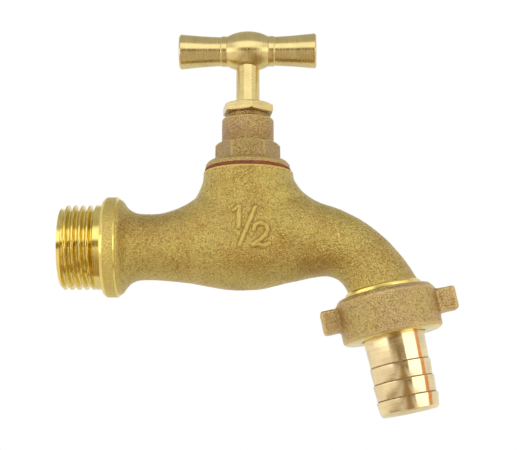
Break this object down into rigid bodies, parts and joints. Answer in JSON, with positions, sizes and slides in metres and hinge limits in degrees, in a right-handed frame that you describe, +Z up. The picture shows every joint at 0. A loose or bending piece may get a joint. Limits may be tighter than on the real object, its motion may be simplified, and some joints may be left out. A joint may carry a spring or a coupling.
{
  "type": "hose bib",
  "caption": "Brass screw-down hose bib with T-handle, packed gland, curved spout, wing union nut and barbed hose tail.",
  "frame": {"origin": "centre of the inlet collar's outer face, on the inlet axis", "axes": "+X from the inlet towards the spout, with the inlet thread at X < 0; +Z up along the spindle; +Y to the back"},
  "size_m": [0.0972, 0.0248, 0.0973],
  "materials": {
    "cast_brass": "sand-cast, matte",
    "cast_brass_bonnet": "sand-cast, matte, tarnished",
    "turned_brass": "turned, bright",
    "pale_brass": "turned, bright",
    "spindle_brass": "turned, bright",
    "red_fibre": "vulcanised fibre",
    "black_rubber": "moulded rubber",
    "graphite_packing": "graphited yarn"
  },
  "bodies": {
    "root": {"body": "cast_brass", "bonnet": "cast_brass_bonnet", "bonnet_gasket": "red_fibre", "gland_nut": "turned_brass", "gland_follower": "turned_brass", "packing_ring_upper": "graphite_packing", "packing_ring_middle": "graphite_packing", "packing_ring_lower": "graphite_packing", "gland_base_ring": "turned_brass"},
    "valve": {"valve_jumper": "turned_brass", "seat_washer": "black_rubber", "washer_plate": "turned_brass", "washer_nut": "turned_brass"},
    "spindle": {"spindle": "spindle_brass", "jumper_pin": "turned_brass", "handle_bar": "turned_brass"},
    "hose_seal": {"hose_washer": "black_rubber"},
    "union_nut": {"union_nut": "cast_brass"},
    "hose_tail": {"hose_tail": "pale_brass"}
  },
  "joints": [
    {"name": "valve_lift", "type": "slide", "parent": "root", "child": "valve", "axis": [0, 0, 1], "range_m": [0, 0.005]},
    {"name": "spindle_turn", "type": "hinge", "parent": "valve", "child": "spindle", "pos_m": [0.0353, 0, 0.02], "axis": [0, 0, 1], "range_deg": [0, 900]},
    {"name": "union_travel", "type": "slide", "parent": "root", "child": "hose_seal", "axis": [0.2011, 0, -0.9796], "range_m": [0, 0.00725]},
    {"name": "union_turn", "type": "hinge", "parent": "hose_seal", "child": "union_nut", "pos_m": [0.06922, 0, -0.01458], "axis": [0.2011, 0, -0.9796], "range_deg": [0, 1440]},
    {"name": "tail_swivel", "type": "hinge", "parent": "hose_seal", "child": "hose_tail", "pos_m": [0.07123, 0, -0.02438], "axis": [0.2011, 0, -0.9796], "continuous": true}
  ],
  "couplings": [
    {"joint": "spindle_turn", "follows": "valve_lift", "rad_per_m": 3141.6},
    {"joint": "union_turn", "follows": "union_travel", "rad_per_m": 3463.5}
  ]
}
